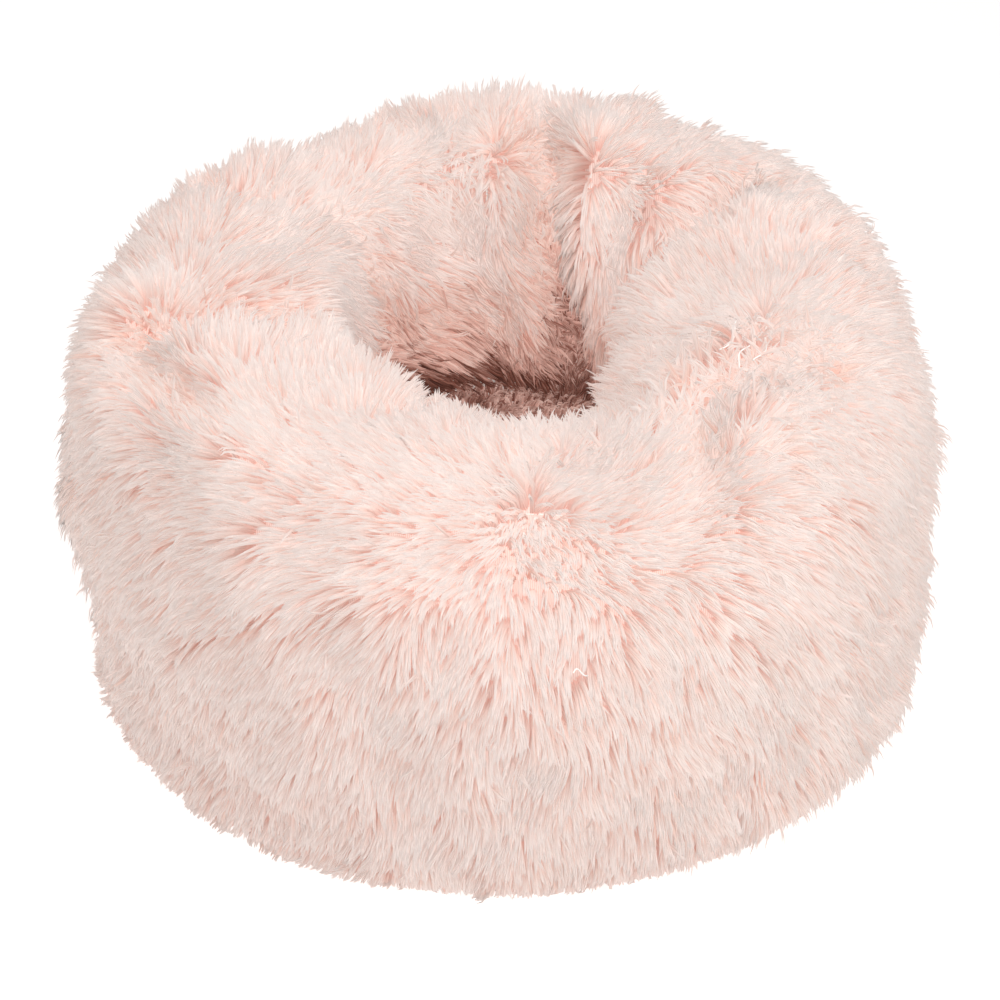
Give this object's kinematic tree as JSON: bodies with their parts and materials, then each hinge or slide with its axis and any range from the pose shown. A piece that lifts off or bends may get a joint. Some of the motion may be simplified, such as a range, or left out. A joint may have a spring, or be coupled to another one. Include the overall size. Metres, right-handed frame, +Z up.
{
  "type": "pet cushion bed",
  "caption": "Round deep nest bed for a pet, a tall plump ring of long-pile fur fabric round a narrow padded well, on a flat base with a zip",
  "frame": {"origin": "centre of the base, on the floor", "axes": "+Z up, -Y towards the low front of the rim, +X to the right seen from the front"},
  "size_m": [0.5999, 0.6, 0.29],
  "materials": {
    "fur": "matte",
    "liner": "matte",
    "fibre": "matte",
    "base_cloth": "matte",
    "thread": "satin",
    "label": "satin",
    "zip_tape": "matte",
    "zip_teeth": "satin",
    "zip_metal": "satin"
  },
  "bodies": {
    "bed": {"outer_fur_wall": "fur", "inner_fur_wall": "fur", "seat_fur_panel": "fur", "crown_seam_thread": "thread", "seat_seam_thread": "thread", "base_seam_thread": "thread", "base_cloth_front": "base_cloth", "base_cloth_back": "base_cloth", "care_label": "label", "zip_tape_front": "zip_tape", "zip_tape_back": "zip_tape", "zip_teeth_front": "zip_teeth", "zip_teeth_back": "zip_teeth", "zip_top_stops": "zip_metal", "zip_bottom_stop": "zip_metal", "bolster_liner": "liner", "bolster_fill": "fibre", "seat_pad_liner": "liner", "seat_pad_fill": "fibre"},
    "zip_slider": {"zip_slider": "zip_metal"},
    "zip_pull": {"zip_pull": "zip_metal"}
  },
  "joints": [
    {"name": "zip_slide", "type": "slide", "parent": "bed", "child": "zip_slider", "axis": [-1, 0, 0], "range_m": [0, 0.36]},
    {"name": "pull_hinge", "type": "hinge", "parent": "zip_slider", "child": "zip_pull", "pos_m": [0.18, 0, 0.00305], "axis": [0, -1, 0], "range_deg": [0, 180]}
  ]
}
